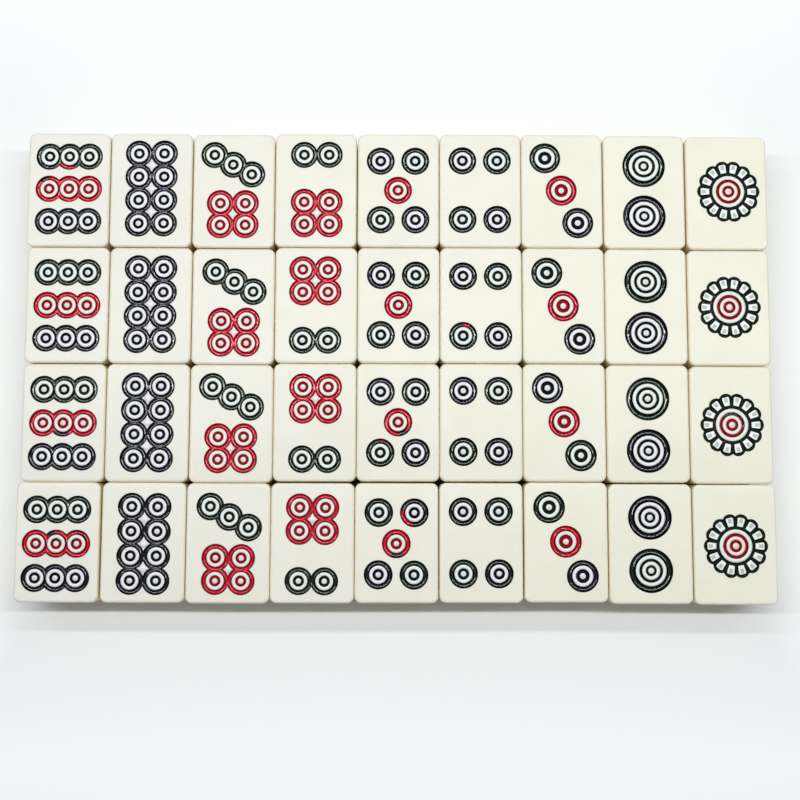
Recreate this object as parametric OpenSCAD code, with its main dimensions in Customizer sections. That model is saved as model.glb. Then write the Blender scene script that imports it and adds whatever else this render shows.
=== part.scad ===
// The circles suit of a mahjong set: nine ranks of tile, four tiles of each rank,
// lying face up and close together in nine columns and four rows.
// Every tile is a polished block with its circles cut into the face as round-bottomed
// channels. Each channel is shown in the colour of the paint that lines it.
// X runs along the rows, from the nines to the ones, and Y runs from row 4 up to row 1.

/* [Tile] */
// Width of a tile
tile_w = 24.1; // [23.5:0.1:30]
// Length of a tile
tile_l = 34.3; // [33.6:0.1:44]
// Thickness of a tile
tile_t = 18; // [12:0.5:26]
// Radius of the four upright corners
corner_r = 2; // [1.6:0.1:3.5]
// Radius of the polished edges round the face and the back
edge_r = 0.8; // [0.4:0.1:1.4]

/* [Laying out] */
// Room between neighbours in a row
row_gap = 0.2; // [0.1:0.05:1]
// Room between one row and the next
column_gap = 0.2; // [0.1:0.05:1]

/* [Cutting] */
// Depth of a circle's channel as a share of half its width
channel_share = 0.88; // [0.6:0.02:0.96]
// Depth of the bed in the flower's petals
petal_bed_d = 0.42; // [0.2:0.02:0.6]
// Smallest step by which the cutter was off its place on a tile
cutter_play = 0.05; // [0:0.01:0.06]

/* [Small circles, on nine, eight, seven and six] */
// Outer radius of the wide ring
small_rim_r = 4; // [3.8:0.05:4.1]
// Radius of the bare field inside the wide ring
small_field_r = 2.52; // [2.2:0.02:2.8]
// Outer radius of the eye's ring
small_eye_r = 1.62; // [1.4:0.02:1.9]
// Radius of the bare bead in the eye
small_bead_r = 0.76; // [0.5:0.02:1]

/* [Middle circles, on five and four] */
// Outer radius of the wide ring
middle_rim_r = 4.15; // [3.8:0.05:4.5]
// Radius of the bare field inside the wide ring
middle_field_r = 2.56; // [2.2:0.02:3]
// Outer radius of the eye's ring
middle_eye_r = 1.66; // [1.4:0.02:1.9]
// Radius of the bare bead in the eye
middle_bead_r = 0.76; // [0.5:0.02:1]

/* [Large circles, on three] */
// Outer radius of the wide ring
large_rim_r = 4.6; // [4.2:0.05:4.9]
// Radius of the bare field inside the wide ring
large_field_r = 2.97; // [2.6:0.02:3.4]
// Outer radius of the eye's ring
large_eye_r = 2.01; // [1.6:0.02:2.3]
// Radius of the bare bead in the eye
large_bead_r = 0.84; // [0.5:0.02:1.2]

/* [Great circles, on two] */
// Outer radius of the wide ring
great_rim_r = 6.34; // [5.8:0.05:6.8]
// Radius of the bare field inside the wide ring
great_field_r = 4.38; // [4:0.02:4.8]
// Outer radius of the thin ring
great_thin_r = 3.43; // [3.1:0.02:3.8]
// Radius of the bare band inside the thin ring
great_band_r = 2.55; // [2.2:0.02:2.8]
// Outer radius of the eye's ring
great_eye_r = 1.6; // [1.3:0.02:1.9]
// Radius of the bare bead in the eye
great_bead_r = 0.82; // [0.5:0.02:1]

/* [Flower, on one] */
// Number of petals
petals = 14; // [12:1:16]
// Distance of a petal's round end from the middle
petal_reach = 7.05; // [6.8:0.05:7.4]
// Radius of a petal's round end
petal_r = 2.22; // [2:0.02:2.4]
// Radius where the petals' windows start
window_start = 5.66; // [5.4:0.02:5.9]
// Radius where the petals' windows end
window_end = 8.2; // [7.8:0.05:8.4]
// Width of a window at its start
window_start_w = 1.6; // [1.2:0.05:1.8]
// Width of a window at its end
window_end_w = 2.1; // [1.8:0.05:2.3]
// Radius of a window's outer corners
window_corner_r = 0.45; // [0.2:0.05:0.6]
// Radius of the bare field inside the petals
flower_field_r = 4.7; // [4.3:0.05:5]
// Outer radius of the red ring
flower_ring_r = 3.7; // [3.3:0.05:4]
// Radius of the bare band inside the red ring
flower_band_r = 2.72; // [2.3:0.02:3]
// Outer radius of the red eye
flower_eye_r = 1.82; // [1.4:0.02:2]
// Radius of the bare bead in the eye
flower_bead_r = 0.9; // [0.5:0.02:1.2]

/* [Places on the face] */
// Distance between circles along a row of the nine
nine_step_x = 5.82; // [5.4:0.02:6]
// Distance between the rows of the nine
nine_step_y = 9.74; // [9:0.02:10.4]
// Distance between the columns of the eight
eight_step_x = 7.44; // [7:0.02:7.8]
// Distance between the rows of the eight
eight_step_y = 7.02; // [6.6:0.02:7.2]
// Distance between circles along the seven's slanting row
slant_step = 6.25; // [5.8:0.05:6.5]
// How far the slanting row leans downward to the right, in degrees
slant_turn = 28.25; // [26:0.25:30]
// Height of the slanting row's middle circle
slant_y = 7.36; // [7:0.02:7.8]
// Depth of the seven's block of four below the tile's middle
seven_block_y = 7.57; // [7.3:0.01:7.8]
// Distance between the columns of a block of four, and of the six's pair
block_step_x = 7.38; // [7:0.02:7.8]
// Distance between the rows of the seven's block
seven_block_step_y = 6.54; // [6.2:0.02:6.8]
// Height of the six's block of four
six_block_y = 7.12; // [6.8:0.02:7.4]
// Distance between the rows of the six's block
six_block_step_y = 6.72; // [6.4:0.02:7]
// Depth of the six's pair below the tile's middle
six_pair_y = 10.48; // [10:0.02:10.8]
// Distance between the corner circles of five and four, across the tile
corner_step_x = 10.24; // [9.4:0.02:10.6]
// Distance between the corner circles of five and four, along the tile
corner_step_y = 17.72; // [17:0.02:18.4]
// Sideways step of the three
three_step_x = 4.75; // [4.4:0.01:5]
// Downward step of the three
three_step_y = 9.8; // [9.4:0.02:10.2]
// Distance between the two great circles
two_step = 15.16; // [14:0.02:15.6]

/* [Hidden] */
$fn = 64;
// Reach of a cut beyond the face
overrun = 0.5;

RANKS = [9, 8, 7, 6, 5, 4, 3, 2, 1];
COPIES = [1, 2, 3, 4];
WORDS = ["one", "two", "three", "four", "five", "six", "seven", "eight", "nine"];
function tile_name(rank, copy) = str("circles_", WORDS[rank - 1], "_", copy);

GREEN = 0;
NAVY = 1;
RED = 2;
PAINTS = [GREEN, NAVY, RED];
PAINT_COLOURS = ["#22352a", "#171826", "#c8142f"];
IVORY = "#f2f0e2";

// Tiles that were laid down the other way round, as [rank, copy]
TURNED = [[6, 1], [3, 3], [2, 4]];
// The five whose corner circles have green and navy the other way round
MIRRORED = [[5, 4]];

// How far each tile slid along its row, as quarters of the gap: one line a row, nines to ones
slide_x_shares = [
    [-5, -4, -2, -2, 0, -1, -3, -1, 3],
    [6, 6, 6, 5, 3, 1, 0, -1, 0],
    [6, 6, 6, 4, 2, -1, -3, -3, -3],
    [-8, -1, -1, -3, -5, -4, -1, 0, 2]
];
// How far each tile slid along its column, as quarters of the gap
slide_y_shares = [
    [-3, -3, -6, 0, 1, 2, 2, -2, -7],
    [-2, -3, -7, 1, 2, 4, 4, 0, -6],
    [-3, -2, -5, 3, 4, 5, 5, 1, -5],
    [0, 0, -3, -1, 0, 2, 6, -2, -5]
];
// How far the circles sit off the middle of each face, as steps of the cutter's play
off_x_shares = [
    [2, 2, -4, 5, -2, -3, -4, -1, 10],
    [1, 2, 6, -4, -1, -3, -3, -2, 2],
    [0, 1, 0, 3, 0, -2, -2, 0, 3],
    [-4, 4, 5, -1, -1, -1, -2, -2, 2]
];
off_y_shares = [
    [4, 9, 10, 4, -1, 2, 1, 3, 8],
    [-3, 7, -2, 2, 1, -5, -3, -6, 3],
    [-2, 3, 8, -4, 1, 7, 6, -7, 0],
    [-8, -7, 2, -7, -4, 1, 4, -1, -8]
];
// How far the circles are turned on each face, as steps of the cutter's turn
cutter_turn = 0.1;
off_turn_shares = [
    [3, 5, 3, 4, 2, 0, 2, -2, 0],
    [0, 1, 1, 2, 0, 0, -2, -3, 0],
    [-1, -2, 0, -2, -1, -1, 0, 0, 0],
    [-2, -4, -4, -5, -3, 3, 0, 4, 0]
];
slide_parts = 4;

function entry(table, rank, copy) = table[copy - 1][len(RANKS) - rank];
function listed(list, rank, copy) = len([for (pair = list) if (pair == [rank, copy]) pair]) > 0;

middle_rank = (len(RANKS) + 1) / 2;
middle_copy = (len(COPIES) + 1) / 2;
function laid_x(rank, copy) = (middle_rank - rank) * (tile_w + row_gap)
    + entry(slide_x_shares, rank, copy) * row_gap / slide_parts;
function laid_y(rank, copy) = (middle_copy - copy) * (tile_l + column_gap)
    + entry(slide_y_shares, rank, copy) * column_gap / slide_parts;
all_x = [for (rank = RANKS, copy = COPIES) laid_x(rank, copy)];
all_y = [for (rank = RANKS, copy = COPIES) laid_y(rank, copy)];
// Middle of the whole layout, which the origin lies under
middle_x = (min(all_x) + max(all_x)) / 2;
middle_y = (min(all_y) + max(all_y)) / 2;

// Radii of one circle from the rim inward: cut ring, bare ring, cut ring, bare bead
small_radii = [small_rim_r, small_field_r, small_eye_r, small_bead_r];
middle_radii = [middle_rim_r, middle_field_r, middle_eye_r, middle_bead_r];
large_radii = [large_rim_r, large_field_r, large_eye_r, large_bead_r];
great_radii = [great_rim_r, great_field_r, great_thin_r, great_band_r, great_eye_r, great_bead_r];
heart_radii = [flower_ring_r, flower_band_r, flower_eye_r, flower_bead_r];
function circle_radii(rank) =
    rank >= 6 ? small_radii :
    rank >= 4 ? middle_radii :
    rank == 3 ? large_radii :
    rank == 2 ? great_radii :
    heart_radii;

// Circles of each rank, as [x, y, paint], in the frame that in_frame() gives their paint
function nine_marks() = [for (i = [-1:1], j = [-1:1])
    [i * nine_step_x, j * nine_step_y, [NAVY, RED, GREEN][j + 1]]];
function eight_marks() = [for (i = [-1, 1], j = [-3, -1, 1, 3])
    [i * eight_step_x / 2, j * eight_step_y / 2, NAVY]];
function block_marks(y, step_y) = [for (i = [-1, 1], j = [-1, 1])
    [i * block_step_x / 2, y + j * step_y / 2, RED]];
function seven_marks() = concat(
    [for (k = [-1:1]) [k * slant_step, 0, GREEN]],
    block_marks(-seven_block_y, seven_block_step_y));
function six_marks() = concat(
    block_marks(six_block_y, six_block_step_y),
    [for (i = [-1, 1]) [i * block_step_x / 2, -six_pair_y, GREEN]]);
function four_marks(first, second) = [for (i = [-1, 1], j = [-1, 1])
    [i * corner_step_x / 2, j * corner_step_y / 2, i * j < 0 ? first : second]];
function five_marks(first, second) = concat(four_marks(first, second), [[0, 0, RED]]);
function three_marks() = [for (k = [-1:1])
    [k * three_step_x, -k * three_step_y, [GREEN, RED, NAVY][k + 1]]];
function two_marks() = [[0, two_step / 2, GREEN], [0, -two_step / 2, NAVY]];
function marks(rank, copy) =
    rank == 9 ? nine_marks() :
    rank == 8 ? eight_marks() :
    rank == 7 ? seven_marks() :
    rank == 6 ? six_marks() :
    rank == 5 && listed(MIRRORED, rank, copy) ? five_marks(GREEN, NAVY) :
    rank == 5 ? five_marks(NAVY, GREEN) :
    rank == 4 ? four_marks(NAVY, GREEN) :
    rank == 3 ? three_marks() :
    rank == 2 ? two_marks() :
    [[0, 0, RED]];

// Upright section through a block of the given width: a rectangle with polished corners
module section(width) {
    translate([0, tile_t / 2]) {
        square([width - 2 * edge_r, tile_t], center = true);
        square([width, tile_t - 2 * edge_r], center = true);
        for (x = [-1, 1], y = [-1, 1])
            translate([x * (width / 2 - edge_r), y * (tile_t / 2 - edge_r)])
                circle(edge_r);
    }
}

// Upright corner of the block, a post with polished rims
module corner_post() {
    rotate_extrude()
        intersection() {
            section(2 * corner_r);
            square([corner_r, tile_t]);
        }
}

// The bare block, standing on its back
module blank() {
    rotate([90, 0, 0])
        linear_extrude(tile_l - 2 * corner_r, center = true)
            section(tile_w);
    rotate([90, 0, 90])
        linear_extrude(tile_w - 2 * corner_r, center = true)
            section(tile_l);
    for (x = [-1, 1], y = [-1, 1])
        translate([x * (tile_w / 2 - corner_r), y * (tile_l / 2 - corner_r), 0])
            corner_post();
}

// Bare window in a petal that points along X, with two rounded outer corners
module petal_window() {
    shoulder = window_end - window_corner_r;
    inset = window_end_w / 2 - window_corner_r;
    polygon([
        [window_start, -window_start_w / 2],
        [shoulder, -window_end_w / 2],
        [shoulder, window_end_w / 2],
        [window_start, window_start_w / 2]
    ]);
    for (side = [-1, 1])
        translate([shoulder, side * inset])
            circle(window_corner_r);
    translate([shoulder - window_corner_r, -inset])
        square([2 * window_corner_r, 2 * inset]);
}

// Outline of the flower: a ring of petals, each with its window, round a bare field
module flower() {
    difference() {
        union() {
            circle(petal_reach);
            for (k = [0:petals - 1])
                rotate(k * 360 / petals)
                    translate([petal_reach, 0])
                        circle(petal_r);
        }
        for (k = [0:petals - 1])
            rotate(k * 360 / petals)
                petal_window();
        circle(flower_field_r);
    }
}

function places_of(rank, copy, paint) = [for (mark = marks(rank, copy)) if (mark[2] == paint) mark];

// Where the cutter put a tile's pattern, from a face whose middle is at the origin
module on_face(rank, copy) {
    half_turn = listed(TURNED, rank, copy) ? 180 : 0;
    translate([entry(off_x_shares, rank, copy), entry(off_y_shares, rank, copy)] * cutter_play)
        rotate(entry(off_turn_shares, rank, copy) * cutter_turn + half_turn)
            children();
}

// Frame of one paint's circles on a face: only the seven's green row slants
module in_frame(rank, paint) {
    if (rank == 7 && paint == GREEN)
        translate([0, slant_y])
            rotate(-slant_turn)
                children();
    else
        children();
}

// Round-bottomed channel between two radii, to be cut from a face at height zero
module channel(outer_r, inner_r) {
    half_w = (outer_r - inner_r) / 2;
    deep = half_w * channel_share;
    arc_r = (half_w * half_w + deep * deep) / (2 * deep);
    translate([0, 0, arc_r - deep])
        rotate_extrude()
            translate([(outer_r + inner_r) / 2, 0])
                circle(arc_r);
}

// Everything nearer to another place than to the origin, as far as two rims can reach
module beyond(place, other, reach) {
    way = [other[0] - place[0], other[1] - place[1]];
    rotate(atan2(way[1], way[0]))
        translate([norm(way) / 2, -reach, -reach])
            cube([reach, 2 * reach, 2 * reach]);
}

// Channels of all circles of one paint. Where two rims run together, each channel ends half way.
module channels(places, radii) {
    reach = 2 * radii[0];
    for (place = places) {
        near = [for (other = places)
            if (other != place && norm([other[0] - place[0], other[1] - place[1]]) < reach) other];
        translate([place[0], place[1], 0]) {
            difference() {
                channel(radii[0], radii[1]);
                for (other = near)
                    beyond(place, other, reach);
            }
            for (k = [2:2:len(radii) - 1])
                channel(radii[k], radii[k + 1]);
        }
    }
}

// Everything cut for one paint, from a face whose middle is at the origin
module cut(rank, copy, paint) {
    on_face(rank, copy)
        in_frame(rank, paint)
            channels(places_of(rank, copy, paint), circle_radii(rank));
    if (rank == 1 && paint == GREEN)
        translate([0, 0, -petal_bed_d])
            linear_extrude(petal_bed_d + overrun)
                on_face(rank, copy) flower();
}

// One finished tile in its place in the layout
module tile(rank, copy) {
    translate([laid_x(rank, copy) - middle_x, laid_y(rank, copy) - middle_y, 0])
        difference() {
            color(IVORY) blank();
            translate([0, 0, tile_t])
                for (paint = PAINTS)
                    color(PAINT_COLOURS[paint]) cut(rank, copy, paint);
        }
}

for (copy = COPIES, rank = RANKS)
    tile(rank, copy);
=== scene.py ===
"""The circles suit of a mahjong set: thirty-six polished tiles with enamel in their cut circles.

The tiles are the frame's own solids. This script gives them their finish, lines every cut
channel with enamel, lays thin stains, dots and stray strokes on top, and adds the floor, the
light and the camera. Sizes are in millimetres, in each tile's own frame, until a piece is made.
"""

import math

import bmesh
import bpy
from mathutils import Matrix, Vector, noise

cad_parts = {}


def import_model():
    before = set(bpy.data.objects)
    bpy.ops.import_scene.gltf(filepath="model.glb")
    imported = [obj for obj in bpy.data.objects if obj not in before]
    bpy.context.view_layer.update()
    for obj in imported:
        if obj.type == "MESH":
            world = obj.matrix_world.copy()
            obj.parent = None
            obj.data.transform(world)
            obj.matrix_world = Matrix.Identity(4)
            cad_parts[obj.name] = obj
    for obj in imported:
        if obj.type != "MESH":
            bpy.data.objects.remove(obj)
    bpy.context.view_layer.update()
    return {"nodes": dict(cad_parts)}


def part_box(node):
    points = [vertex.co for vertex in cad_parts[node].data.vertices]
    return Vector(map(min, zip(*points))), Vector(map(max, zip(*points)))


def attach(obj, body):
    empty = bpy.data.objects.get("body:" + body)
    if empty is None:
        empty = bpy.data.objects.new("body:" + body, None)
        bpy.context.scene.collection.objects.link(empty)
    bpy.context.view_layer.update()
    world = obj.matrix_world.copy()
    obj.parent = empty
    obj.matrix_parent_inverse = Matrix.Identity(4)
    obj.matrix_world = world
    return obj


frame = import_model()

MM = 0.001
RANKS = (9, 8, 7, 6, 5, 4, 3, 2, 1)
COPIES = (1, 2, 3, 4)
WORDS = ("one", "two", "three", "four", "five", "six", "seven", "eight", "nine")
GREEN, NAVY, RED = "green", "navy", "red"

# Radii of each kind of circle from the rim inward: cut ring, bare ring, cut ring, bare bead
SMALL_RADII = (4.0, 2.52, 1.62, 0.76)
MIDDLE_RADII = (4.15, 2.56, 1.66, 0.76)
LARGE_RADII = (4.6, 2.97, 2.01, 0.84)
GREAT_RADII = (6.34, 4.38, 3.43, 2.55, 1.6, 0.82)
HEART_RADII = (3.7, 2.72, 1.82, 0.9)

# Steps between the circles of each rank
NINE_STEP = (5.82, 9.74)
EIGHT_STEP = (7.44, 7.02)
SLANT_STEP = 6.25
SLANT_TURN = math.radians(28.25)
SLANT_Y = 7.36
BLOCK_STEP_X = 7.38
SEVEN_BLOCK_Y = -7.57
SEVEN_BLOCK_STEP_Y = 6.54
SIX_BLOCK_Y = 7.12
SIX_BLOCK_STEP_Y = 6.72
SIX_PAIR_Y = -10.48
CORNER_STEP = (10.24, 17.72)
THREE_STEP = (4.75, -9.8)
TWO_STEP = 15.16

# The flower of the one
PETALS = 14
PETAL_REACH = 7.05
PETAL_R = 2.22
WINDOW_START = 5.66
WINDOW_END = 8.2
WINDOW_START_W = 1.6
WINDOW_END_W = 2.1
WINDOW_CORNER_R = 0.45
FLOWER_FIELD_R = 4.7

# Where the cutter put the circles on each face, one line a row, nines to ones
CUTTER_PLAY = 0.05
OFF_X_SHARES = (
    (2, 2, -4, 5, -2, -3, -4, -1, 10),
    (1, 2, 6, -4, -1, -3, -3, -2, 2),
    (0, 1, 0, 3, 0, -2, -2, 0, 3),
    (-4, 4, 5, -1, -1, -1, -2, -2, 2),
)
OFF_Y_SHARES = (
    (4, 9, 10, 4, -1, 2, 1, 3, 8),
    (-3, 7, -2, 2, 1, -5, -3, -6, 3),
    (-2, 3, 8, -4, 1, 7, 6, -7, 0),
    (-8, -7, 2, -7, -4, 1, 4, -1, -8),
)
CUTTER_TURN = math.radians(0.1)
OFF_TURN_SHARES = (
    (3, 5, 3, 4, 2, 0, 2, -2, 0),
    (0, 1, 1, 2, 0, 0, -2, -3, 0),
    (-1, -2, 0, -2, -1, -1, 0, 0, 0),
    (-2, -4, -4, -5, -3, 3, 0, 4, 0),
)
TURNED = ((6, 1), (3, 3), (2, 4))
MIRRORED = ((5, 4),)

# Enamel in its channel: how far below the face, its depth to half its width, and its steps
LIP = 0.04
CHANNEL_SHARE = 0.76
BED_D = 0.3
BITE = 0.02
UNDER = 0.12
STEPS_ACROSS = 8
WIDE_STEPS_ROUND = 64
EYE_STEPS_ROUND = 40

# Thin paint on top: stains wiped over the bare rings, dots, strokes that strayed
STAIN_RISE = 0.006
DOT_R = 0.2
DOT_RISE = 0.016
STRAY_RISE = 0.02
STRAY_UNDER = 0.05
STRAY_STEPS_ACROSS = 12
SMEAR_STEPS_ROUND = 16

# Strokes of the wrong paint: (rank, copy, paint, circle, ring from the rim, how much of the
# channel from its inner edge, first and last degrees anticlockwise)
STRAYS = (
    (9, 1, RED, (0, NINE_STEP[1]), 0, (0.1, 0.85), (-150, -65)),
    (9, 1, GREEN, (-NINE_STEP[0], 0), 0, (0.45, 1), (95, 136)),
    (9, 3, NAVY, (0, 0), 0, (0, 1), (-134, -64)),
    (9, 4, NAVY, (0, 0), 0, (0, 1), (100, 136)),
    (9, 4, NAVY, (0, 0), 0, (0.8, 1), (72, 110)),
    (9, 4, NAVY, (0, 0), 1, (0, 1), (18, 152)),
    (9, 4, NAVY, (0, 0), 0, (0, 0.25), (-18, 18)),
    (9, 4, NAVY, (0, 0), 0, (0, 0.25), (162, 198)),
    (9, 4, NAVY, (NINE_STEP[0], 0), 0, (0.62, 1), (24, 120)),
    (9, 4, NAVY, (NINE_STEP[0], 0), 0, (0, 0.3), (18, 90)),
    (9, 4, NAVY, (NINE_STEP[0], 0), 1, (0, 1), (83, 176)),
    (5, 3, NAVY, (0, 0), 0, (0.2, 1), (-82, -40)),
    (5, 3, NAVY, (0, 0), 0, (0, 0.4), (-102, -50)),
    (5, 3, RED, (-CORNER_STEP[0] / 2, -CORNER_STEP[1] / 2), 0, (0.4, 0.7), (71, 89)),
    (5, 4, RED, (CORNER_STEP[0] / 2, CORNER_STEP[1] / 2), 0, (0.1, 0.9), (170, 262)),
    (5, 4, NAVY, (0, 0), 0, (0.3, 1), (241, 304)),
    (4, 2, RED, (-CORNER_STEP[0] / 2, -CORNER_STEP[1] / 2), 0, (0.3, 0.8), (53, 91)),
    (1, 3, NAVY, (0, 0), 0, (0.55, 1), (-27, 62)),
    (1, 3, NAVY, (0, 0), 0, (0.2, 1), (56, 124)),
)

# Small touches of red between the petals: (copy, distance from the middle, degrees)
PETAL_TOUCHES = (
    (2, 7.76, 168),
    (2, 5.3, 167),
    (2, 7.75, 191),
    (2, 5.55, 193),
    (2, 5.4, 144),
    (2, 5.25, 219),
    (3, 5.3, 170),
    (3, 5.2, 194),
    (3, 5.7, 225),
    (3, 5.35, 245),
)
TOUCH_SIZE = (0.34, 0.14)
TOUCH_Z = -0.2
TOUCH_RISE = 0.05
NICK = (9, 4, (2.86, 11.15))
NICK_SIZE = (0.42, 0.16)
NICK_TURN = math.radians(115)
NICK_Z = -0.6

# How a stray stroke is drawn: it thins to a point at both ends and wanders there
STRAY_STEPS_PER_RADIAN = 20
STRAY_LEAST_STEPS = 8
WANDER = 0.08
WANDER_ALONG = 5
WANDER_ACROSS = 7
TAPER = 3.2
TAPER_POWER = 0.6
TIP_SHARE = 0.25

# How far out and how high each row of a dab lies, and how much of a window is washed
CAP_SHARES = ((1, 0), (0.92, 0.7), (0.6, 1))
DOT_STEPS_ROUND = 16
WASH_SHARE = 0.55

# Steps of the flower's outlines, and the turn either side that a round end is followed
FIELD_STEPS = 8
PETAL_END_STEPS = 24
WINDOW_CORNER_STEPS = 6
RIM_STEPS = 32
RIM_TURN = 2
PETAL_STEPS_ROUND = 56
LEAST_TURN = 0.02

# Tolerances in millimetres, radians and digits, and the angles of edges in degrees
WELD = 0.002
AT_RIM = 1e-4
ON_RAY = 1e-3
PARALLEL = 1e-12
PAST_END = 1e-6
RING_DIGITS = 6
PETAL_DIGITS = 5
CHANNEL_SHARP = 100
DAB_SHARP = 60


def from_srgb(red, green, blue):
    """Linear colour from levels of 0 to 255."""

    def linear(level):
        share = level / 255
        return share / 12.92 if share <= 0.04045 else ((share + 0.055) / 1.055) ** 2.4

    return tuple(linear(level) for level in (red, green, blue))


# Finishes, as roughness and specular level
GLOSSY = (0.11, 1.0)
DULL = (0.5, 0.12)
POLISHED = (0.38, 0.4)
MATT = (0.5, 0.5)
PAPERY = (0.9, 0.1)

# Each paint's colour, its colour in the deeper streaks and the tint of its shine
PAINT_COLOURS = {
    GREEN: (from_srgb(18, 28, 21), from_srgb(10, 16, 12), (0.84, 1, 0.87)),
    NAVY: (from_srgb(14, 14, 24), from_srgb(8, 8, 14), (0.93, 0.92, 1)),
    RED: (from_srgb(204, 10, 42), from_srgb(186, 6, 34), (1, 0.62, 0.68)),
}
DULL_COLOURS = {
    **PAINT_COLOURS,
    RED: (from_srgb(172, 6, 22), from_srgb(154, 3, 16), (1, 0.7, 0.7)),
}
STAIN_COLOURS = {
    GREEN: from_srgb(239, 246, 242),
    NAVY: from_srgb(240, 243, 246),
    RED: from_srgb(246, 240, 234),
}
WASH_COLOUR = from_srgb(184, 196, 187)
DOT_COLOUR = from_srgb(196, 196, 190)
NICK_COLOUR = from_srgb(232, 234, 228)

# Enamel: streaks, fine grain, and the shade painted on a channel's sloping wall, as darker colour
# and a dimmer shine there
STREAK_SCALE = 700
GRAIN_SCALE = 1500
GRAIN_DETAIL = 4
GRAIN_STRENGTH = 0.06
GRAIN_DEPTH = 0.02
WALL_PAINTED_SHADE = 0.4
WALL_PAINTED_SHINE_DROP = 0.2
WALL_TO_MIDDLE = (0.8, 0.94)

# Ivory: level of each row, the front row painted lighter where the lamps' light falls off; yellower
# towards the ones, clouds a little darker, and sides painted warmer for the light scattered warm in
# the gaps
ROW_PAINTED_LIGHT_LEVELS = (236, 236, 236, 241)
MIDDLE_RANK = 5
RANK_STEP = 0.4
LEAST_YELLOW = 9
CLOUD_DROP = (3, 3, 4)
CLOUD_SCALE = 90
CLOUD_DETAIL = 3
CLOUD_STOPS = (0.35, 0.65)
SIDE_PAINTED_WARMTH = from_srgb(236, 223, 188)
SIDE_TO_FACE = (0.25, 0.85)
SUBSURFACE = 0.15
SUBSURFACE_RADII = (1.0, 0.8, 0.5)
SUBSURFACE_DEPTH = 1.5

# Paper under the tiles, in metres: how fast its glow grows away from them, and further off
PAPER_COLOUR = from_srgb(243, 247, 248)
PAPER_REACH = 4
SHEET_X = 0.1095
SHEET_Y = 0.069
BESIDE_GLOW = (8.5, 1.5)
BELOW_GLOW = 3.7
ABOVE_GLOW = 1.3
MOST_GLOW = 0.18
FAR_START = 0.15
FAR_END = 0.9
FAR_GLOW = 0.7
WHITE = (1, 1, 1)

# Light: two long lamps as (name, y, power), and a dim room that the camera sees pale
STRIPS = (("near_strip", 53, 1.9), ("far_strip", 207, 0.95))
STRIP_HEIGHT = 470
STRIP_SIZE = (900, 20)
ROOM_COLOUR = (0.19, 0.19, 0.19)
SEEN_ROOM_COLOUR = (0.93, 0.95, 0.95)

# Camera: lens, place in millimetres and turn in radians
LENS = 45
SENSOR = 36
HALF_PIXEL = 0.5 / 800
CLIP_END = 20
CAMERA_PLACE = (-0.796, -35.594, 307.54)
CAMERA_TURN = (0.0861, -0.0059, 0.0031)


def tile_name(rank, copy):
    return f"circles_{WORDS[rank - 1]}_{copy}"


def circle_radii(rank):
    if rank >= 6:
        return SMALL_RADII
    if rank >= 4:
        return MIDDLE_RADII
    return {3: LARGE_RADII, 2: GREAT_RADII, 1: HEART_RADII}[rank]


def block_marks(y, step_y):
    return [(i * BLOCK_STEP_X / 2, y + j * step_y / 2, RED) for i in (-1, 1) for j in (-1, 1)]


def marks(rank, copy):
    """Circles of a rank on an upright face, as (x, y, paint)."""
    if rank == 9:
        return [
            (i * NINE_STEP[0], j * NINE_STEP[1], paint)
            for i in (-1, 0, 1)
            for j, paint in ((-1, NAVY), (0, RED), (1, GREEN))
        ]
    if rank == 8:
        return [
            (i * EIGHT_STEP[0] / 2, j * EIGHT_STEP[1] / 2, NAVY)
            for i in (-1, 1)
            for j in (-3, -1, 1, 3)
        ]
    if rank == 7:
        across, down = SLANT_STEP * math.cos(SLANT_TURN), SLANT_STEP * math.sin(SLANT_TURN)
        slant = [(k * across, SLANT_Y - k * down, GREEN) for k in (-1, 0, 1)]
        return slant + block_marks(SEVEN_BLOCK_Y, SEVEN_BLOCK_STEP_Y)
    if rank == 6:
        pair = [(i * BLOCK_STEP_X / 2, SIX_PAIR_Y, GREEN) for i in (-1, 1)]
        return block_marks(SIX_BLOCK_Y, SIX_BLOCK_STEP_Y) + pair
    if rank in (5, 4):
        falling, rising = (GREEN, NAVY) if (rank, copy) in MIRRORED else (NAVY, GREEN)
        corners = [
            (i * CORNER_STEP[0] / 2, j * CORNER_STEP[1] / 2, falling if i * j < 0 else rising)
            for i in (-1, 1)
            for j in (-1, 1)
        ]
        return corners + ([(0, 0, RED)] if rank == 5 else [])
    if rank == 3:
        return [
            (k * THREE_STEP[0], k * THREE_STEP[1], paint)
            for k, paint in ((-1, GREEN), (0, RED), (1, NAVY))
        ]
    if rank == 2:
        return [(0, TWO_STEP / 2, GREEN), (0, -TWO_STEP / 2, NAVY)]
    return [(0, 0, RED)]


def on_face(rank, copy):
    """From a pattern's own frame, with the face at height zero, to the row frame in metres."""
    low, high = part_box(tile_name(rank, copy))
    middle = (low + high) / 2
    row, column = COPIES.index(copy), RANKS.index(rank)
    off = Vector((OFF_X_SHARES[row][column], OFF_Y_SHARES[row][column], 0)) * CUTTER_PLAY
    turn = OFF_TURN_SHARES[row][column] * CUTTER_TURN
    if (rank, copy) in TURNED:
        turn += math.pi
    return (
        Matrix.Translation((middle.x, middle.y, high.z))
        @ Matrix.Scale(MM, 4)
        @ Matrix.Translation(off)
        @ Matrix.Rotation(turn, 4, "Z")
    )


def polar(radius, angle):
    return Vector((radius * math.cos(angle), radius * math.sin(angle)))


def steps(low, high, count):
    """Evenly spaced values from low to high."""
    return [low + (high - low) * k / count for k in range(count + 1)]


def turned(points, angle):
    turn = Matrix.Rotation(angle, 2)
    return [turn @ p for p in points]


def shrunk(points, share):
    middle = sum(points, Vector((0, 0))) / len(points)
    return [middle + (p - middle) * share for p in points]


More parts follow.
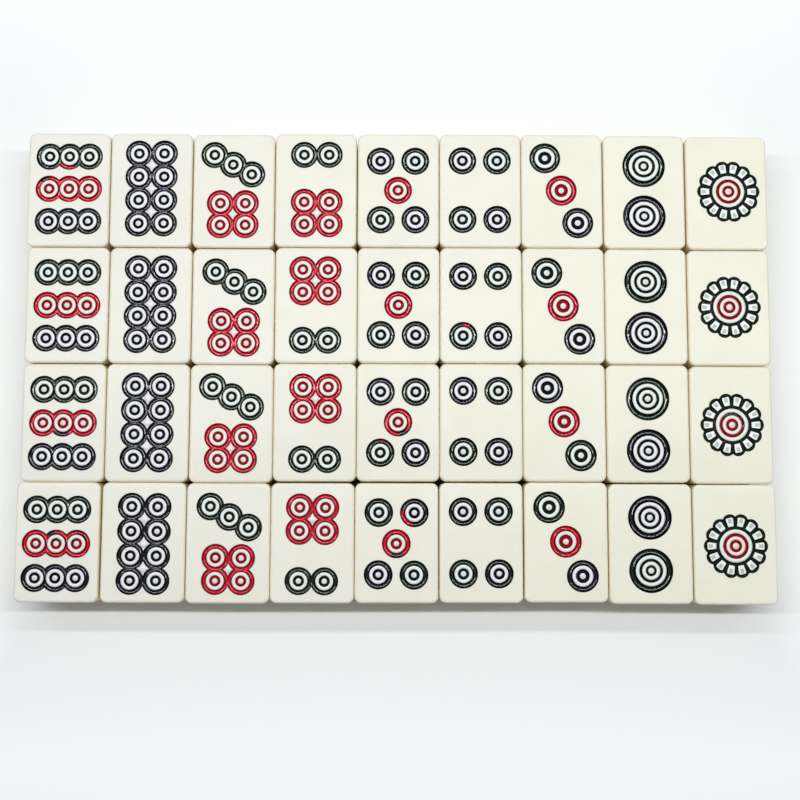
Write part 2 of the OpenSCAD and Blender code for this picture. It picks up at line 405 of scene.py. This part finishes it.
class Skin:
    """Points and faces of one piece, in a pattern's own frame."""

    def __init__(self):
        self.points = []
        self.faces = []

    def point(self, flat, height):
        self.points.append((flat.x, flat.y, height))
        return len(self.points) - 1

    def strip(self, first, second):
        """Faces between two rows of points."""
        for k in range(len(first) - 1):
            self.faces.append((first[k], first[k + 1], second[k + 1], second[k]))

    def band(self, row, next_row, closed=True):
        """Top, underside and inner side between two rows, and the outer side if closed."""
        (top, bottom), (next_top, next_bottom) = row, next_row
        self.strip(top, next_top)
        self.strip(bottom, next_bottom)
        self.strip([top[0], bottom[0]], [next_top[0], next_bottom[0]])
        if closed:
            self.strip([top[-1], bottom[-1]], [next_top[-1], next_bottom[-1]])

    def piece(self, name, place, material, slot, body, sharp=CHANNEL_SHARP):
        mesh = bpy.data.meshes.new(name)
        mesh.from_pydata([place @ Vector(p) for p in self.points], [], self.faces)
        bm = bmesh.new()
        bm.from_mesh(mesh)
        bmesh.ops.remove_doubles(bm, verts=bm.verts, dist=WELD * MM)
        bmesh.ops.recalc_face_normals(bm, faces=bm.faces)
        bm.to_mesh(mesh)
        bm.free()
        mesh.shade_smooth()
        mesh.set_sharp_from_angle(angle=math.radians(sharp))
        mesh.materials.append(material)
        thing = bpy.data.objects.new(name, mesh)
        bpy.context.scene.collection.objects.link(thing)
        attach(thing, body)


def channel_height(radius, inner, outer):
    """Height of the enamel at a radius of a channel between two radii."""
    half = (outer - inner) / 2
    across = (radius - (inner + outer) / 2) / half
    return -LIP - half * CHANNEL_SHARE * (1 - across * across)


def neighbours(place, places, rim):
    """Way and half distance to each circle that this one's rim runs into."""
    found = []
    for other in places:
        way = Vector(other) - Vector(place)
        if 0 < way.length < 2 * rim:
            found.append((math.atan2(way.y, way.x), way.length / 2))
    return found


def reach_at(angle, outer, near):
    """How far a circle goes at an angle, up to the half way lines to its neighbours."""
    reach = outer
    for way, half in near:
        facing = math.cos(angle - way)
        if facing > 0:
            reach = min(reach, half / facing)
    return reach


def add_ring(skin, place, inner, outer, near, count):
    """Enamel in one circle's channel, as far as the half way lines to its neighbours."""
    start = near[0][0] if near else 0
    angles = {round((start + k * math.tau / count) % math.tau, RING_DIGITS) for k in range(count)}
    for way, half in near:
        meet = math.acos(half / outer)
        angles |= {round((way + side * meet) % math.tau, RING_DIGITS) for side in (-1, 1)}
    middle = Vector(place)
    floor_height = channel_height((inner + outer) / 2, inner, outer) - UNDER
    rows = []
    for angle in sorted(angles):
        reach = reach_at(angle, outer, near)
        low = inner - BITE
        high = outer + BITE if reach == outer else reach
        top = [
            skin.point(middle + polar(r, angle), channel_height(r, inner, outer))
            for r in steps(low, high, STEPS_ACROSS)
        ]
        bottom = [skin.point(middle + polar(r, angle), floor_height) for r in (low, high)]
        rows.append(((top, bottom), reach > outer - AT_RIM))
    for k, (row, at_rim) in enumerate(rows):
        next_row, next_at_rim = rows[(k + 1) % len(rows)]
        skin.band(row, next_row, at_rim and next_at_rim)


def painted(rank, copy, paint):
    return [(x, y) for x, y, own in marks(rank, copy) if own == paint]


def rim_skin(rank, copy, paint):
    """The outermost ring of every circle of one paint on a tile."""
    skin = Skin()
    outer, inner = circle_radii(rank)[:2]
    places = painted(rank, copy, paint)
    for place in places:
        near = neighbours(place, places, outer)
        add_ring(skin, place, inner, outer, near, WIDE_STEPS_ROUND)
    return skin


def eye_skin(rank, copy, paint):
    """The rings inside the outermost one of every circle of one paint on a tile."""
    skin = Skin()
    radii = circle_radii(rank)
    for place in painted(rank, copy, paint):
        for k in range(2, len(radii), 2):
            add_ring(skin, place, radii[k + 1], radii[k], [], EYE_STEPS_ROUND)
    return skin


def add_stain(skin, place, inner, outer):
    """Thin stain on a bare ring, with its edges turned down into the channels."""
    middle = Vector(place)
    across = [(inner - BITE, -UNDER), (inner - BITE, STAIN_RISE)]
    across += [(outer + BITE, STAIN_RISE), (outer + BITE, -UNDER)]
    rows = []
    for k in range(WIDE_STEPS_ROUND):
        way = polar(1, k * math.tau / WIDE_STEPS_ROUND)
        rows.append([skin.point(middle + way * max(r, 0), height) for r, height in across])
    for k, row in enumerate(rows):
        skin.strip([*row, row[0]], [*rows[k - 1], rows[k - 1][0]])


def islands(rank, paint):
    """Bare spots shut in between four circles of one paint, with their radius."""
    if (rank, paint) == (8, NAVY):
        step_x, step_y = EIGHT_STEP
        places = [(0, k * step_y) for k in (-1, 0, 1)]
    elif (rank, paint) == (7, RED):
        step_x, step_y = BLOCK_STEP_X, SEVEN_BLOCK_STEP_Y
        places = [(0, SEVEN_BLOCK_Y)]
    elif (rank, paint) == (6, RED):
        step_x, step_y = BLOCK_STEP_X, SIX_BLOCK_STEP_Y
        places = [(0, SIX_BLOCK_Y)]
    else:
        return []
    radius = math.hypot(step_x, step_y) / 2 - SMALL_RADII[0]
    return [(place, radius) for place in places]


def stain_skin(rank, copy, paint):
    """Stains of one paint on the bare rings, beads, islands and windows that it was wiped over."""
    skin = Skin()
    radii = circle_radii(rank)
    for place, radius in islands(rank, paint):
        add_stain(skin, place, 0, radius)
    for place in painted(rank, copy, paint):
        for k in range(1, len(radii) - 1, 2):
            add_stain(skin, place, radii[k + 1], radii[k])
        add_stain(skin, place, 0, radii[-1])
    if rank == 1 and paint == GREEN:
        add_stain(skin, (0, 0), HEART_RADII[0], FLOWER_FIELD_R)
        for angle in petal_angles():
            add_cap(skin, turned(window_outline(), angle), 0, STAIN_RISE)
    return skin


def add_stray(skin, place, inner, outer, near, across, degrees):
    """Stroke over the enamel of a channel, drawn out to nothing at both ends."""
    middle = Vector(place)
    start, end = (math.radians(angle) for angle in degrees)
    count = max(STRAY_LEAST_STEPS, round((end - start) * STRAY_STEPS_PER_RADIAN))
    rows = []
    for k, angle in enumerate(steps(start, end, count)):
        wander = noise.noise((angle * WANDER_ALONG, across[0] * WANDER_ACROSS, start)) * WANDER
        tip = math.sin(math.pi * (k + TIP_SHARE) / (count + 2 * TIP_SHARE))
        fade = min(1, TAPER * tip) ** TAPER_POWER
        centre = (across[0] + across[1]) / 2 + wander * (1 - fade)
        half = (across[1] - across[0]) / 2 * fade
        low = inner + (outer - inner) * (centre - half)
        high = min(reach_at(angle, outer, near), inner + (outer - inner) * (centre + half))
        radii = steps(low, high, STRAY_STEPS_ACROSS)
        rows.append(
            [
                [
                    skin.point(middle + polar(r, angle), channel_height(r, inner, outer) + rise)
                    for r in radii
                ]
                for rise in (STRAY_RISE, -STRAY_UNDER)
            ]
        )
    for row, next_row in zip(rows, rows[1:]):
        skin.band(row, next_row)
    for top, bottom in (rows[0], rows[-1]):
        skin.strip(top, bottom)


def stray_skin(rank, copy, paint):
    """Strokes of a paint on a tile that went outside their own channels."""
    skin = Skin()
    radii = circle_radii(rank)
    owners = {(x, y): own for x, y, own in marks(rank, copy)}
    for own_rank, own_copy, own_paint, place, ring, across, degrees in STRAYS:
        if (own_rank, own_copy, own_paint) != (rank, copy, paint):
            continue
        near = []
        if ring == 0:
            near = neighbours(place, painted(rank, copy, owners[place]), radii[0])
        add_stray(skin, place, radii[2 * ring + 1], radii[2 * ring], near, across, degrees)
    if paint == RED and rank == 1:
        for own_copy, reach, way in PETAL_TOUCHES:
            if own_copy == copy:
                angle = math.radians(way)
                add_smear(skin, polar(reach, angle), TOUCH_SIZE, angle, TOUCH_Z)
    return skin


def arc_points(middle, radius, start, end, count):
    return [Vector(middle) + polar(radius, angle) for angle in steps(start, end, count)]


def petal_angles():
    return [k * math.tau / PETALS for k in range(PETALS)]


def window_outline():
    """Bare window in a petal that points along X, anticlockwise."""
    shoulder = WINDOW_END - WINDOW_CORNER_R
    inset = WINDOW_END_W / 2 - WINDOW_CORNER_R
    quarter = math.pi / 2
    points = [Vector((WINDOW_START, -WINDOW_START_W / 2))]
    for y, start in ((-inset, -quarter), (inset, 0)):
        end = start + quarter
        points += arc_points((shoulder, y), WINDOW_CORNER_R, start, end, WINDOW_CORNER_STEPS)
    points.append(Vector((WINDOW_START, WINDOW_START_W / 2)))
    return points


def petal_outline():
    """One petal's share of the flower, anticlockwise: bare field, ray, round end, ray."""
    half = math.pi / PETALS
    lift = math.sqrt(PETAL_R**2 - (PETAL_REACH * math.sin(half)) ** 2)
    notch = polar(PETAL_REACH * math.cos(half) + lift, half)
    swing = math.atan2(notch.y, notch.x - PETAL_REACH)
    outline = arc_points((0, 0), FLOWER_FIELD_R, half, -half, FIELD_STEPS)
    outline += arc_points((PETAL_REACH, 0), PETAL_R, -swing, swing, PETAL_END_STEPS)
    return outline


def hit(middle, way, outline):
    """Distance from the middle to where a ray from it crosses a closed outline."""
    best = None
    for k, first in enumerate(outline):
        second = outline[(k + 1) % len(outline)]
        edge = second - first
        cross = way.x * edge.y - way.y * edge.x
        if abs(cross) < PARALLEL:
            continue
        gap = first - middle
        along = (gap.x * edge.y - gap.y * edge.x) / cross
        share = (gap.x * way.y - gap.y * way.x) / cross
        if along > 0 and -PAST_END <= share <= 1 + PAST_END and (best is None or along < best):
            best = along
    return best


def away(point, outline, closed=True):
    """Distance from a point to an outline."""
    least = math.inf
    last = len(outline) if closed else len(outline) - 1
    for k in range(last):
        first = outline[k]
        edge = outline[(k + 1) % len(outline)] - first
        share = max(0, min(1, (point - first).dot(edge) / edge.length_squared))
        least = min(least, (point - first - edge * share).length)
    return least


def petal_ways(middle, window, outline):
    """Angles from a window's middle at which the petal's enamel has a row, corners included."""
    ways = {round(k * math.tau / PETAL_STEPS_ROUND, PETAL_DIGITS) for k in range(PETAL_STEPS_ROUND)}
    corners = (outline[0], outline[FIELD_STEPS], outline[FIELD_STEPS + 1], outline[-1])
    for corner in (*window, *corners):
        side = corner - middle
        ways.add(round(math.atan2(side.y, side.x) % math.tau, PETAL_DIGITS))
    kept = []
    for angle in sorted(ways):
        if not kept or angle - kept[-1] > LEAST_TURN:
            kept.append(angle)
    return kept


def petal_skin():
    """Enamel round one petal's window, out to the half way rays to its neighbours."""
    skin = Skin()
    half = math.pi / PETALS
    window = window_outline()
    outline = petal_outline()
    beside = [turned(window, side * 2 * half) for side in (-1, 1)]
    field = arc_points((0, 0), FLOWER_FIELD_R, -3 * half, 3 * half, 3 * FIELD_STEPS)
    rims = []
    for side in (-1, 0, 1):
        way = side * 2 * half
        rim_middle = polar(PETAL_REACH, way)
        rims.append(arc_points(rim_middle, PETAL_R, way - RIM_TURN, way + RIM_TURN, RIM_STEPS))
    middle = Vector(((WINDOW_START + WINDOW_END) / 2, 0))
    rows = []
    for angle in petal_ways(middle, window, outline):
        way = polar(1, angle)
        end = hit(middle, way, outline)
        far = middle + way * end
        on_ray = abs(abs(math.atan2(far.y, far.x)) - half) < ON_RAY
        low = hit(middle, way, window) - BITE
        high = end if on_ray else end + BITE
        top = []
        for distance in steps(low, high, STEPS_ACROSS):
            spot = middle + way * distance
            first, second = sorted(
                (
                    away(spot, window),
                    min(away(spot, side) for side in beside),
                    away(spot, field, False),
                    min(away(spot, rim, False) for rim in rims),
                )
            )[:2]
            depth = 2 * CHANNEL_SHARE * first * second / (first + second)
            top.append(skin.point(spot, -LIP - BED_D * math.tanh(depth / BED_D)))
        bottom = [skin.point(middle + way * r, -LIP - BED_D - UNDER) for r in (low, high)]
        rows.append(((top, bottom), on_ray))
    for k, (row, on_ray) in enumerate(rows):
        next_row, next_on_ray = rows[(k + 1) % len(rows)]
        skin.band(row, next_row, not (on_ray and next_on_ray))
    return skin


def flower_skin():
    """The ring of petals."""
    petal = petal_skin()
    flower = Skin()
    for angle in petal_angles():
        turn = Matrix.Rotation(angle, 4, "Z")
        base = len(flower.points)
        flower.points += [tuple(turn @ Vector(p)) for p in petal.points]
        flower.faces += [tuple(base + i for i in face) for face in petal.faces]
    return flower


def add_cap(skin, outline, height, thick):
    """Low cushion of thin paint with the given outline."""
    rows = [
        [skin.point(p, height + thick * rise) for p in shrunk(outline, share)]
        for share, rise in CAP_SHARES
    ]
    rows.insert(0, [skin.point(p, height - UNDER) for p in outline])
    for first, second in zip(rows, rows[1:]):
        skin.strip([*first, first[0]], [*second, second[0]])
    skin.faces.append(tuple(rows[-1]))
    skin.faces.append(tuple(reversed(rows[0])))


def add_smear(skin, place, size, angle, height):
    """Small long dab of paint, lying along an angle."""
    outline = []
    for k in range(SMEAR_STEPS_ROUND):
        way = polar(1, k * math.tau / SMEAR_STEPS_ROUND)
        outline.append(Vector((way.x * size[0], way.y * size[1])))
    add_cap(skin, [place + p for p in turned(outline, angle)], height, TOUCH_RISE)


def dots_skin(rank, copy):
    """A grey dot in the middle of each circle."""
    skin = Skin()
    last = DOT_STEPS_ROUND - 1
    end = math.tau * last / DOT_STEPS_ROUND
    for x, y, _ in marks(rank, copy):
        add_cap(skin, arc_points((x, y), DOT_R, 0, end, last), 0, DOT_RISE)
    return skin


def nick_skin():
    """A bare nick in the enamel."""
    skin = Skin()
    add_smear(skin, Vector(NICK[2]), NICK_SIZE, NICK_TURN, NICK_Z)
    return skin


def wash_skin():
    """Pale paint left in the petals' windows."""
    skin = Skin()
    for angle in petal_angles():
        add_cap(skin, turned(shrunk(window_outline(), WASH_SHARE), angle), 0, DOT_RISE)
    return skin


class Wires:
    """Nodes and links of one material or world."""

    def __init__(self, owner):
        owner.use_nodes = True
        self.nodes = owner.node_tree.nodes
        self.links = owner.node_tree.links

    def feed(self, socket, value):
        """Puts a level, a colour or another node's output into a socket."""
        if isinstance(value, bpy.types.NodeSocket):
            self.links.new(value, socket)
        else:
            socket.default_value = value

    def fill(self, node, values):
        for name, value in values.items():
            self.feed(node.inputs[name], value)

    def reckon(self, operation, *values):
        """A Math node fed with sockets and numbers."""
        node = self.nodes.new("ShaderNodeMath")
        node.operation = operation
        for k, value in enumerate(values):
            self.feed(node.inputs[k], value)
        return node.outputs["Value"]

    def stretch(self, value, start, end, low=0, high=1):
        """A Map Range node, which goes from low to high as the value goes from start to end."""
        node = self.nodes.new("ShaderNodeMapRange")
        ends = {"From Min": start, "From Max": end, "To Min": low, "To Max": high}
        self.fill(node, {"Value": value, **ends})
        return node.outputs["Result"]

    def mix(self, blend, factor, first, second):
        """A Mix node between two colours."""
        node = self.nodes.new("ShaderNodeMix")
        node.data_type = "RGBA"
        node.blend_type = blend
        self.fill(node, {"Factor": factor, "A": first, "B": second})
        return node.outputs["Result"]

    def ramp(self, value, positions, colours):
        """A Color Ramp node with two stops."""
        node = self.nodes.new("ShaderNodeValToRGB")
        for stop, position, colour in zip(node.color_ramp.elements, positions, colours):
            stop.position = position
            stop.color = (*colour, 1)
        self.feed(node.inputs["Fac"], value)
        return node.outputs["Color"]

    def cloud(self, scale, detail):
        """Soft noise in the object's own frame."""
        place = self.nodes.new("ShaderNodeTexCoord")
        node = self.nodes.new("ShaderNodeTexNoise")
        self.fill(node, {"Vector": place.outputs["Object"], "Scale": scale, "Detail": detail})
        return node.outputs["Fac"]

    def split(self, kind, output):
        """The X, Y and Z of what a node gives out."""
        place = self.nodes.new(kind)
        parts = self.nodes.new("ShaderNodeSeparateXYZ")
        self.links.new(place.outputs[output], parts.inputs["Vector"])
        return parts.outputs

    def upward(self):
        """How far the surface faces up, in the object's own frame."""
        return self.split("ShaderNodeTexCoord", "Normal")["Z"]

    def seen(self):
        return self.nodes.new("ShaderNodeLightPath").outputs["Is Camera Ray"]


def principled(name, colour, roughness, specular):
    """A new material, with its shader and wires."""
    material = bpy.data.materials.new(name)
    wires = Wires(material)
    shader = wires.nodes["Principled BSDF"]
    shader.inputs["Base Color"].default_value = (*colour, 1)
    shader.inputs["Roughness"].default_value = roughness
    shader.inputs["Specular IOR Level"].default_value = specular
    return material, shader, wires


def ivory(name, face, shade):
    """Polished melamine resin, a little translucent and never quite even, with a warm tint painted
    on its sides for the light scattered warm in the gaps.
    """
    material, shader, wires = principled(name, face, *POLISHED)
    clouds = wires.ramp(wires.cloud(CLOUD_SCALE, CLOUD_DETAIL), CLOUD_STOPS, (face, shade))
    # Painted warm light: faces that turn away from up take the side colour, standing in for the
    # light scattered warm in the gaps.
    flat = wires.stretch(wires.reckon("ABSOLUTE", wires.upward()), *SIDE_TO_FACE)
    colour = wires.mix("MIX", flat, (*SIDE_PAINTED_WARMTH, 1), clouds)
    wires.feed(shader.inputs["Base Color"], colour)
    shader.inputs["Subsurface Weight"].default_value = SUBSURFACE
    shader.inputs["Subsurface Radius"].default_value = SUBSURFACE_RADII
    shader.inputs["Subsurface Scale"].default_value = SUBSURFACE_DEPTH * MM
    return material


def tile_ivory(rank, copy):
    """Each tile's own ivory: a little yellower towards the ones, and lighter in the front row as
    painted light.
    """
    # Painted light: the front row is made lighter to make up for the lamps' light falling off
    # towards it.
    level = ROW_PAINTED_LIGHT_LEVELS[COPIES.index(copy)] + (MIDDLE_RANK - rank) * RANK_STEP
    levels = (level, level, level - LEAST_YELLOW - (RANKS[0] - rank))
    face = from_srgb(*levels)
    shade = from_srgb(*(own - drop for own, drop in zip(levels, CLOUD_DROP)))
    return ivory(f"ivory_{WORDS[rank - 1]}_{copy}", face, shade)


def enamel(name, colour, deep, tint, roughness, specular):
    """Brushed-in paint with faint streaks, and shade painted on the channel's sloping wall as
    darker colour and a dimmer shine.
    """
    material, shader, wires = principled(name, colour, roughness, specular)
    streaks = wires.ramp(wires.cloud(STREAK_SCALE, CLOUD_DETAIL), CLOUD_STOPS, (deep, colour))
    # Painted shade: where the enamel slopes down into its channel, its colour is darkened and its
    # shine dimmed.
    painted_shade_stops = ((WALL_PAINTED_SHADE,) * 3, WHITE)
    painted_wall_shade = wires.ramp(wires.upward(), WALL_TO_MIDDLE, painted_shade_stops)
    painted_shine_stops = (tuple(level * WALL_PAINTED_SHINE_DROP for level in tint), tint)
    shine = wires.ramp(wires.upward(), WALL_TO_MIDDLE, painted_shine_stops)
    wires.feed(shader.inputs["Base Color"], wires.mix("MULTIPLY", 1, streaks, painted_wall_shade))
    wires.feed(shader.inputs["Specular Tint"], shine)
    bump = wires.nodes.new("ShaderNodeBump")
    bump.inputs["Strength"].default_value = GRAIN_STRENGTH
    bump.inputs["Distance"].default_value = GRAIN_DEPTH * MM
    wires.feed(bump.inputs["Height"], wires.cloud(GRAIN_SCALE, GRAIN_DETAIL))
    wires.feed(shader.inputs["Normal"], bump.outputs["Normal"])
    return material


def paper():
    """White paper that the camera sees brighter away from the tiles."""
    material, shader, wires = principled("floor", PAPER_COLOUR, *PAPERY)
    where = wires.split("ShaderNodeNewGeometry", "Position")
    x, y = where["X"], where["Y"]
    across, along = wires.reckon("ABSOLUTE", x), wires.reckon("ABSOLUTE", y)
    beside = wires.reckon("SUBTRACT", across, SHEET_X)
    below = wires.reckon("SUBTRACT", wires.reckon("MULTIPLY", y, -1), SHEET_Y)
    above = wires.reckon("SUBTRACT", y, SHEET_Y)
    beside_glow = wires.stretch(y, -SHEET_Y, SHEET_Y, *BESIDE_GLOW)
    glow = wires.reckon("MULTIPLY", beside, beside_glow)
    for distance, growth in ((below, BELOW_GLOW), (above, ABOVE_GLOW)):
        glow = wires.reckon("MAXIMUM", glow, wires.reckon("MULTIPLY", distance, growth))
    glow = wires.reckon("MINIMUM", wires.reckon("MAXIMUM", glow, 0), MOST_GLOW)
    farthest = wires.reckon("MAXIMUM", across, along)
    glow = wires.reckon("ADD", glow, wires.stretch(farthest, FAR_START, FAR_END, 0, FAR_GLOW))
    shader.inputs["Emission Color"].default_value = (*WHITE, 1)
    wires.feed(shader.inputs["Emission Strength"], wires.reckon("MULTIPLY", glow, wires.seen()))
    return material


PAINTS = {
    paint: enamel(f"{paint}_enamel", *colours, *GLOSSY) for paint, colours in PAINT_COLOURS.items()
}
DULL_PAINTS = {
    paint: enamel(f"{paint}_eye_enamel", *colours, *DULL) for paint, colours in DULL_COLOURS.items()
}
STAINS = {
    paint: principled(f"{paint}_stain", colour, *POLISHED)[0]
    for paint, colour in STAIN_COLOURS.items()
}
WASH = principled("petal_wash", WASH_COLOUR, *MATT)[0]
DOT = principled("grey_dot", DOT_COLOUR, *MATT)[0]
BARE_NICK = principled("bare_nick", NICK_COLOUR, *MATT)[0]


def dress(rank, copy):
    """Everything on one tile."""
    name = tile_name(rank, copy)
    body = f"{name}_body"
    node = frame["nodes"][name]
    node.data.materials.clear()
    node.data.materials.append(tile_ivory(rank, copy))
    place = on_face(rank, copy)
    for paint in (GREEN, NAVY, RED):
        slot = f"{paint}_paint"
        rim = flower_skin() if rank == 1 and paint == GREEN else rim_skin(rank, copy, paint)
        rim_paint = DULL_PAINTS[paint] if rank == 1 else PAINTS[paint]
        pieces = (
            ("rim", rim, rim_paint, slot),
            ("eye", eye_skin(rank, copy, paint), DULL_PAINTS[paint], slot),
            ("stray", stray_skin(rank, copy, paint), PAINTS[paint], slot),
            ("stain", stain_skin(rank, copy, paint), STAINS[paint], "tile_ivory"),
        )
        for kind, skin, material, own_slot in pieces:
            if skin.points:
                skin.piece(f"{paint}_{kind}_{name}", place, material, own_slot, body)
    dots_skin(rank, copy).piece(f"dots_{name}", place, DOT, "petal_wash", body, DAB_SHARP)
    if (rank, copy) == NICK[:2]:
        nick_skin().piece(f"nick_{name}", place, BARE_NICK, "tile_ivory", body, DAB_SHARP)
    if rank == 1:
        wash_skin().piece(f"petal_wash_{name}", place, WASH, "petal_wash", body, DAB_SHARP)


for each_copy in COPIES:
    for each_rank in RANKS:
        dress(each_rank, each_copy)


def floor():
    reach = PAPER_REACH
    mesh = bpy.data.meshes.new("floor")
    corners = [(-reach, -reach, 0), (reach, -reach, 0), (reach, reach, 0), (-reach, reach, 0)]
    mesh.from_pydata(corners, [], [(0, 1, 2, 3)])
    mesh.materials.append(paper())
    thing = bpy.data.objects.new("floor", mesh)
    bpy.context.scene.collection.objects.link(thing)


def strip_lamp(name, y, power):
    light = bpy.data.lights.new(name, "AREA")
    light.shape = "RECTANGLE"
    light.size, light.size_y = (side * MM for side in STRIP_SIZE)
    light.energy = power
    thing = bpy.data.objects.new(name, light)
    thing.location = (0, y * MM, STRIP_HEIGHT * MM)
    bpy.context.scene.collection.objects.link(thing)


def world():
    """Dim even light, seen as white paper by the camera."""
    made = bpy.data.worlds.new("room")
    wires = Wires(made)
    colour = wires.mix("MIX", wires.seen(), (*ROOM_COLOUR, 1), (*SEEN_ROOM_COLOUR, 1))
    wires.feed(wires.nodes["Background"].inputs["Color"], colour)
    bpy.context.scene.world = made


def camera():
    lens = bpy.data.cameras.new("camera")
    lens.lens = LENS
    lens.sensor_width = SENSOR
    lens.clip_end = CLIP_END
    lens.shift_x = -HALF_PIXEL
    lens.shift_y = HALF_PIXEL
    thing = bpy.data.objects.new("camera", lens)
    thing.location = [part * MM for part in CAMERA_PLACE]
    thing.rotation_mode = "ZYX"
    thing.rotation_euler = CAMERA_TURN
    bpy.context.scene.collection.objects.link(thing)
    bpy.context.scene.camera = thing


floor()
for strip in STRIPS:
    strip_lamp(*strip)
world()
camera()
bpy.context.scene.view_settings.view_transform = "Standard"
